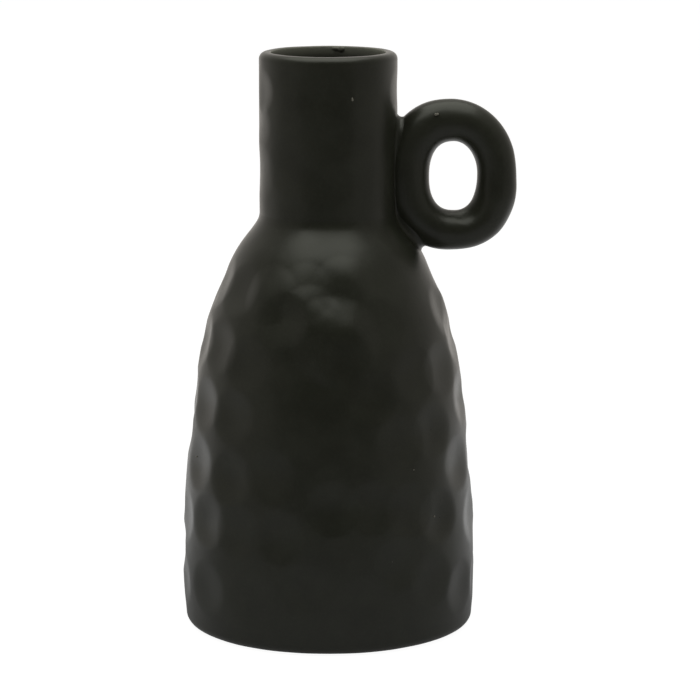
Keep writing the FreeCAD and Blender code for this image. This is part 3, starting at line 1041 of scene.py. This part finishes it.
# %% Slip along the seam
SLIP_WIDTH = 0.0009
SLIP_WIDTH_CHANGE = 0.0001
SLIP_TOP_WIDTH = 0.0039
SLIP_BOTTOM_WIDTH = 0.0055
SLIP_END_POWER = 10
SLIP_FULLNESS = 0.15
SLIP_END_FULLNESS = 0.55
SLIP_SINK = 0.0003
SLIP_POINTS = 9
SLIP_WAVES = 7
SMOOTHING = 4


def smoothed(vectors):
    """Each direction round the seam, averaged with its neighbours."""
    values = np.array([tuple(vector) for vector in vectors])
    spread = sum(np.roll(values, shift, axis=0) for shift in range(-SMOOTHING, SMOOTHING + 1))
    return [Vector(row).normalized() for row in spread]


pot_normals = smoothed([row[1] for row in seam])
ring_normals = smoothed([row[2] for row in seam])
loops = []
outward = []
for i, (corner, _, _) in enumerate(seam):
    pot_out = pot_normals[i]
    ring_out = ring_normals[i]
    width = SLIP_WIDTH + SLIP_WIDTH_CHANGE * math.sin(math.tau * SLIP_WAVES * i / SEAM_STEPS)
    upward = math.sin(math.tau * i / SEAM_STEPS)
    width += upward**SLIP_END_POWER * (SLIP_TOP_WIDTH if upward > 0 else SLIP_BOTTOM_WIDTH)
    fullness = SLIP_FULLNESS + SLIP_END_FULLNESS * upward**SLIP_END_POWER
    over_pot = (ring_out - pot_out * ring_out.dot(pot_out)).normalized()
    over_ring = (pot_out - ring_out * pot_out.dot(ring_out)).normalized()
    start = snap_to_pot(corner + over_pot * width)[0]
    end = ring_skin.find_nearest(corner + over_ring * width)[0]
    cheek = corner.lerp((start + end) / 2, fullness)
    loop = []
    for share in np.linspace(0, 1, SLIP_POINTS):
        loop.append(start * (1 - share) ** 2 + cheek * (2 * share * (1 - share)) + end * share**2)
    both = (pot_out + ring_out).normalized()
    loop += [end - ring_out * SLIP_SINK, corner - both * SLIP_SINK * 2, start - pot_out * SLIP_SINK]
    loops.append(loop)
    outward += [both] * SLIP_POINTS + [Vector((0, 0, 0))] * (len(loop) - SLIP_POINTS)
slip = swept("slip_clay", loops, outward)
press_marks(slip, [], HANDLE_SEED, black_glaze)
print("slip:", len(slip.data.vertices), "points")

# %% [markdown]
# Small accidents of the making show on the real pot. One is a drop of glaze that ran just inside the back of
# the lip. It is two smooth lumps side by side, half sunk in the wall and a little narrower below.

# %% The drop inside the lip
DROP_ANGLES = (167.0, 172.5)
DROP_HEIGHTS = (0.2486, 0.2488)
DROP_SIZES = ((0.0018, 0.0006, 0.0011), (0.0016, 0.0005, 0.0008))
DROP_COLUMNS = 28
DROP_ROWS = 15
DROP_SAG = 0.25

points = []
faces = []
for degrees, height, (wide, thick, tall) in zip(DROP_ANGLES, DROP_HEIGHTS, DROP_SIZES):
    centre = around(MOUTH_RADIUS, height, degrees)
    sideways = around(1, 0, degrees + 90)
    depthways = around(1, 0, degrees)
    rows = []
    for slant in np.linspace(-math.pi / 2, math.pi / 2, DROP_ROWS):
        up = math.sin(slant)
        girth = math.cos(slant)
        sag = 1 + DROP_SAG * min(up, 0)
        columns = DROP_COLUMNS if abs(up) < 1 else 1
        rows.append([len(points) + column % columns for column in range(DROP_COLUMNS)])
        for turn in np.linspace(0, math.tau, columns, endpoint=False):
            shifted = sideways * (girth * math.cos(turn) * wide * sag)
            shifted += depthways * (girth * math.sin(turn) * thick)
            points.append(tuple(centre + shifted + Vector((0, 0, up * tall))))
    for row, above in zip(rows, rows[1:]):
        faces += faces_between(row, above)
mesh = bpy.data.meshes.new("drop")
mesh.from_pydata(points, [], faces)
tidy(mesh)
# The drop takes the mouth's glaze, so its pale tone is the same painted light as the lip's inside.
mesh.materials.append(mouth_glaze_painted_light)
drop = place(bpy.data.objects.new("glaze_drop", mesh))
print("drop:", len(mesh.vertices), "points")

# %% [markdown]
# The others are pips: grains of grit that stand up through the glaze like pinheads. Their pale tone is partly
# the grit's own and partly a painted glint. They repeat, so a second tree scatters them over the body,
# outside only, and adds the few that the photograph shows. Each of those has an angle, a height and a size,
# and on the ring two angles.

# %% The tree that scatters pips
PIP_DENSITY = 150.0
OUTSIDE_LENGTH = 0.5
PIP_SMALLEST = 0.00012
PIP_LARGEST = 0.00026
PIP_SEED = 7
SEEN_PIPS = (
    (46.8, 0.0558, 0.0004),
    (-71.1, 0.0769, 0.0004),
    (36.0, 0.0778, 0.0003),
    (20.0, 0.232, 0.00045),
    (19.8, 0.2327, 0.0004),
)
RING_PIPS = ((107.2, 63.5), (105.4, 64.0))
RING_PIP_SIZE = 0.0006

scatter = bpy.data.node_groups.new("scatter glaze pips", "GeometryNodeTree")
for label, kind in [
    ("Seen pips", "Geometry"),
    ("Skin", "Object"),
    ("Density", "Float"),
    ("Smallest", "Float"),
    ("Largest", "Float"),
    ("Seed", "Int"),
    ("Glaze", "Material"),
]:
    scatter.interface.new_socket(label, in_out="INPUT", socket_type="NodeSocket" + kind)
scatter.interface.new_socket("Pips", in_out="OUTPUT", socket_type="NodeSocketGeometry")
given = scatter.nodes.new("NodeGroupInput").outputs
skin = add(scatter, "GeometryNodeObjectInfo", {0: given["Skin"]}).outputs["Geometry"]
sockets = {"Name": "outward"}
facing = add(scatter, "GeometryNodeInputNamedAttribute", sockets, data_type="FLOAT_VECTOR").outputs[0]
length = add(scatter, "ShaderNodeVectorMath", {0: facing}, operation="LENGTH").outputs["Value"]
outer = math_of(scatter, "GREATER_THAN", length, OUTSIDE_LENGTH)
sockets = {"Mesh": skin, "Selection": outer, "Density": given["Density"], "Seed": given["Seed"]}
spots = add(scatter, "GeometryNodeDistributePointsOnFaces", sockets).outputs["Points"]
sockets = {2: given["Smallest"], 3: given["Largest"], "Seed": given["Seed"]}
size = add(scatter, "FunctionNodeRandomValue", sockets, data_type="FLOAT").outputs[1]
sockets = {"Geometry": spots, "Name": "size", "Value": size}
spots = add(scatter, "GeometryNodeStoreNamedAttribute", sockets, data_type="FLOAT", domain="POINT").outputs[0]
joined = add(scatter, "GeometryNodeJoinGeometry")
seen_points = add(scatter, "GeometryNodeMeshToPoints", {0: given["Seen pips"]}).outputs[0]
scatter.links.new(spots, joined.inputs[0])
scatter.links.new(seen_points, joined.inputs[0])
ball = add(scatter, "GeometryNodeMeshIcoSphere", {"Radius": 1.0, "Subdivisions": 2}).outputs["Mesh"]
size = add(scatter, "GeometryNodeInputNamedAttribute", {"Name": "size"}, data_type="FLOAT").outputs[0]
sockets = {"Points": joined.outputs[0], "Instance": ball, "Scale": size}
pips = add(scatter, "GeometryNodeInstanceOnPoints", sockets).outputs[0]
pips = add(scatter, "GeometryNodeRealizeInstances", {"Geometry": pips}).outputs[0]
pips = add(scatter, "GeometryNodeSetShadeSmooth", {"Geometry": pips}).outputs[0]
pips = add(scatter, "GeometryNodeSetMaterial", {"Geometry": pips, "Material": given["Glaze"]}).outputs[0]
add(scatter, "NodeGroupOutput", {"Pips": pips})
print("tree for pips:", len(scatter.nodes), "nodes")

# %% Pips on the body
spots = [on_pot(degrees, height)[0] for degrees, height, _ in SEEN_PIPS]
spots += [on_ring(*pip) for pip in RING_PIPS]
mesh = bpy.data.meshes.new("pips")
mesh.from_pydata(spots, [], [])
sizes = [pip[2] for pip in SEEN_PIPS] + [RING_PIP_SIZE] * len(RING_PIPS)
mesh.attributes.new("size", "FLOAT", "POINT").data.foreach_set("value", sizes)
pips = place(bpy.data.objects.new("glaze_pips", mesh))
values = {"Skin": body, "Density": PIP_DENSITY, "Smallest": PIP_SMALLEST, "Largest": PIP_LARGEST}
# The pips get the pale tone that is partly grit and partly a painted glint.
run_tree(pips, scatter, values | {"Seed": PIP_SEED, "Glaze": pip_grit_and_painted_glint_glaze})
print("pips:", len(pips.data.vertices), "points")

# %% [markdown]
# The inside of the neck is given painted light: a pale tone just under the lip, fading to a painted shade
# further down in the mouth. The faces on the inside of the neck get that glaze.

# %% Painted light inside the mouth
MOUTH_MARGIN = 0.0005

neck.data.materials.append(mouth_glaze_painted_light)
inner = 0
for face in neck.data.polygons:
    if math.hypot(face.center.x, face.center.y) < MOUTH_RADIUS + MOUTH_MARGIN:
        face.material_index = 1
        inner += 1
print(inner, "faces inside the mouth carry the glaze with painted light")

# %% [markdown]
# The foot stands on a narrow ring. A potter wipes the glaze off it before firing, so that the pot doesn't
# stick to the kiln shelf, and the bare dark clay shows there. The faces that touch the ground get that clay.

# %% Wipe the standing ring
WIPED_HEIGHT = 0.0011

slab.data.materials.append(bare_clay)
wiped = 0
for face in slab.data.polygons:
    if face.center.z < WIPED_HEIGHT:
        face.material_index = 1
        wiped += 1
print(wiped, "faces of the standing ring are bare clay")

# %% [markdown]
# Last, every piece is named, rides on the frame's one body, and stands for the solid whose place it takes.
# The drop and the pips stand for none.

# %% Hand the pieces to the frame
pieces = {
    "glazed_foot": (slab, "base_slab"),
    "glazed_body": (body, "body_wall"),
    "glazed_neck": (neck, "neck"),
    "glazed_ring": (ring, "ring_handle"),
    "slip_seam": (slip, "handle_slip"),
    "glaze_drop": (drop, None),
    "glaze_pips": (pips, None),
}
for name, (piece, solid) in pieces.items():
    piece.name = name
    piece.data.name = name
    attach(piece, "root")
    if solid:
        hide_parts(solid)
    triangles = sum(len(face.vertices) - 2 for face in piece.data.polygons)
    print(name, "has", triangles, "triangles")
